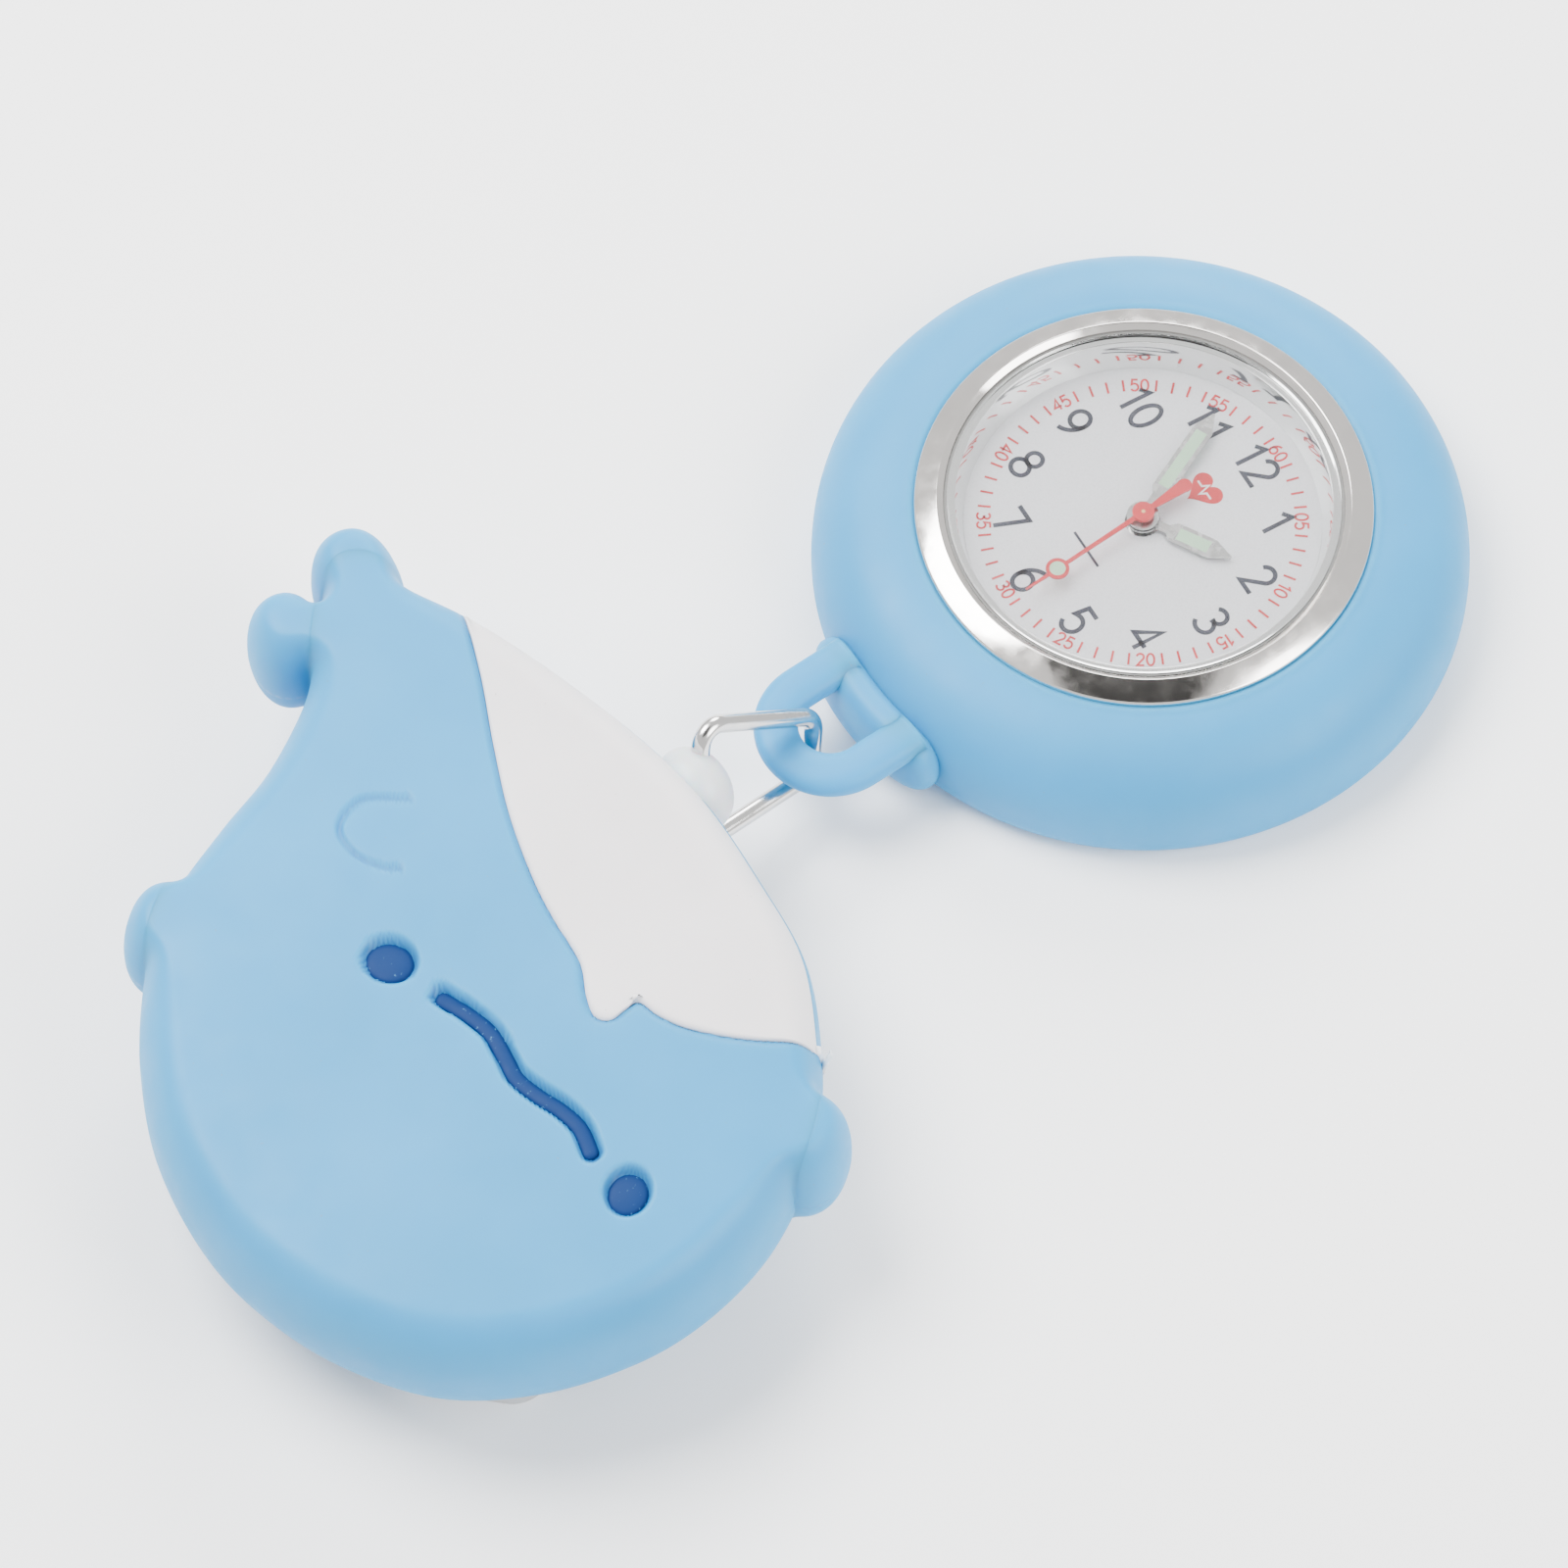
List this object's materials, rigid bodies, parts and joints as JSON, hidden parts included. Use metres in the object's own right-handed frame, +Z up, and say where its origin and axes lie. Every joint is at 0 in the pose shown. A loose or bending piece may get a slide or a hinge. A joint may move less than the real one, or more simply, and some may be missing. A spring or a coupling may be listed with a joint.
{
  "type": "retractable fob watch",
  "caption": "Fob watch in a silicone ring cover, hung by a wire link and a retractable cord from a whale-shaped reel cover on a swivel clip.",
  "frame": {"origin": "on the axis of the reel, in the plane the clip and the watch cover lie on", "axes": "+X along the cord from the reel to the watch, +Z up out of the dial, +Y completes the right hand"},
  "size_m": [0.0945, 0.0542, 0.0136],
  "materials": {
    "silicone_blue": "soft matte silicone",
    "silicone_white": "soft matte silicone",
    "silicone_navy": "soft matte silicone",
    "abs_white": "moulded",
    "nickel_wire": "nickel plated",
    "spring_steel": "satin nickel",
    "case_steel": "turned, satin",
    "cord": "braided nylon",
    "crystal_glass": "polished mineral glass",
    "dial_white": "pearl lacquer",
    "polished_ring": "polished",
    "hand_silver": "polished",
    "lume": "luminous paint",
    "second_red": "lacquer",
    "movement_plastic": "moulded",
    "brass_wheels": "hobbed",
    "plate_brass": "grained",
    "copper_coil": "enamelled wire",
    "pcb_green": "solder mask",
    "gasket_rubber": "moulded",
    "battery_steel": "nickel plated"
  },
  "bodies": {
    "reel": {"whale_cover": "silicone_blue", "belly_patch": "silicone_white", "eye_inlays": "silicone_navy", "mouth_inlay": "silicone_navy", "reel_back_shell": "abs_white", "reel_front_shell": "abs_white", "spring_arbor": "abs_white", "centre_rivet": "spring_steel", "cord_spout": "abs_white"},
    "spool": {"cord_spool": "abs_white", "wound_cord": "cord", "spring_cover": "abs_white", "power_spring": "spring_steel"},
    "cord_end": {"cord_lead": "cord", "cord_stopper": "abs_white"},
    "link": {"wire_link": "nickel_wire"},
    "clip": {"clip_leaf": "spring_steel", "clip_pin": "spring_steel", "clip_washer": "abs_white"},
    "jaw": {"clip_jaw": "spring_steel", "clip_spring": "spring_steel"},
    "watch": {"watch_cover": "silicone_blue", "watch_case": "case_steel", "crystal_gasket": "gasket_rubber", "crystal": "crystal_glass", "reflector_ring": "polished_ring", "dial": "dial_white", "crown_tube": "case_steel", "case_back": "case_steel", "case_back_gasket": "gasket_rubber", "main_plate": "plate_brass", "train_bridge": "plate_brass", "bridge_screws": "spring_steel", "movement_holder": "movement_plastic", "battery": "battery_steel", "battery_strap": "spring_steel", "stator": "spring_steel", "coil": "copper_coil", "circuit_board": "pcb_green", "quartz_can": "battery_steel"},
    "seconds": {"second_wheel": "brass_wheels", "second_hand": "second_red", "second_lume": "lume"},
    "third": {"third_wheel": "brass_wheels"},
    "fifth": {"fifth_wheel": "brass_wheels"},
    "rotor": {"rotor": "spring_steel"},
    "minutes": {"centre_wheel": "hand_silver", "minute_hand": "hand_silver", "minute_lume": "lume"},
    "motion_wheel": {"minute_wheel": "brass_wheels"},
    "hours": {"hour_wheel": "hand_silver", "hour_hand": "hand_silver", "hour_lume": "lume"},
    "setting_slide": {"stem_collar": "spring_steel"},
    "crown": {"crown": "case_steel", "crown_stem": "case_steel"}
  },
  "joints": [
    {"name": "cord_pull", "type": "slide", "parent": "reel", "child": "cord_end", "axis": [1, 0, 0], "range_m": [0, 0.55], "stiffness_N_per_m": 0.3, "springref_m": -2, "deforming": ["cord_lead"]},
    {"name": "spool_turn", "type": "hinge", "parent": "reel", "child": "spool", "pos_m": [0, 0, 0.0082], "axis": [0, 0, 1], "range_deg": [-3520, 2], "deforming": ["power_spring"]},
    {"name": "link_swing", "type": "hinge", "parent": "cord_end", "child": "link", "pos_m": [0.0198, 0.009, 0.0082], "axis": [0.3716, 0.4067, 0.8346], "range_deg": [-50, 50]},
    {"name": "watch_lift", "type": "hinge", "parent": "link", "child": "watch", "pos_m": [0.02645, 0.009, 0.00524], "axis": [0, -1, 0], "range_deg": [-45, 60]},
    {"name": "clip_swivel", "type": "hinge", "parent": "reel", "child": "clip", "pos_m": [0, 0, 0.0038], "axis": [0, 0, 1], "continuous": true},
    {"name": "clip_open", "type": "hinge", "parent": "clip", "child": "jaw", "pos_m": [-0.00302, -0.00292, 0.0021], "axis": [0.6947, -0.7193, 0], "range_deg": [0, 9.5], "stiffness_Nm_per_rad": 0.15, "springref_deg": -14.32, "deforming": ["clip_spring"]},
    {"name": "second_turn", "type": "hinge", "parent": "watch", "child": "seconds", "pos_m": [0.05315, 0.009, 0.0045], "axis": [0, 0, -1], "continuous": true},
    {"name": "third_turn", "type": "hinge", "parent": "watch", "child": "third", "pos_m": [0.05504, 0.01158, 0.0045], "axis": [0, 0, -1], "continuous": true},
    {"name": "fifth_turn", "type": "hinge", "parent": "watch", "child": "fifth", "pos_m": [0.05513, 0.00687, 0.0045], "axis": [0, 0, -1], "continuous": true},
    {"name": "rotor_turn", "type": "hinge", "parent": "watch", "child": "rotor", "pos_m": [0.05693, 0.00497, 0.0045], "axis": [0, 0, -1], "continuous": true},
    {"name": "minute_turn", "type": "hinge", "parent": "watch", "child": "minutes", "pos_m": [0.05315, 0.009, 0.0045], "axis": [0, 0, -1], "continuous": true},
    {"name": "motion_wheel_turn", "type": "hinge", "parent": "watch", "child": "motion_wheel", "pos_m": [0.05224, 0.00624, 0.0045], "axis": [0, 0, -1], "continuous": true},
    {"name": "hour_turn", "type": "hinge", "parent": "watch", "child": "hours", "pos_m": [0.05315, 0.009, 0.0045], "axis": [0, 0, -1], "continuous": true},
    {"name": "crown_pull", "type": "slide", "parent": "watch", "child": "setting_slide", "axis": [-0.108, -0.9942, 0], "range_m": [0, 0.0008]},
    {"name": "crown_turn", "type": "hinge", "parent": "setting_slide", "child": "crown", "pos_m": [0.05185, -0.00293, 0.0046], "axis": [-0.108, -0.9942, 0], "continuous": true}
  ],
  "couplings": [
    {"joint": "spool_turn", "follows": "cord_pull", "rad_per_m": -111.11},
    {"joint": "rotor_turn", "follows": "second_turn", "ratio": 30},
    {"joint": "fifth_turn", "follows": "second_turn", "ratio": -6},
    {"joint": "third_turn", "follows": "second_turn", "ratio": -0.13333},
    {"joint": "minute_turn", "follows": "second_turn", "ratio": 0.016667},
    {"joint": "motion_wheel_turn", "follows": "second_turn", "ratio": -0.0055556},
    {"joint": "hour_turn", "follows": "second_turn", "ratio": 0.0013889}
  ]
}
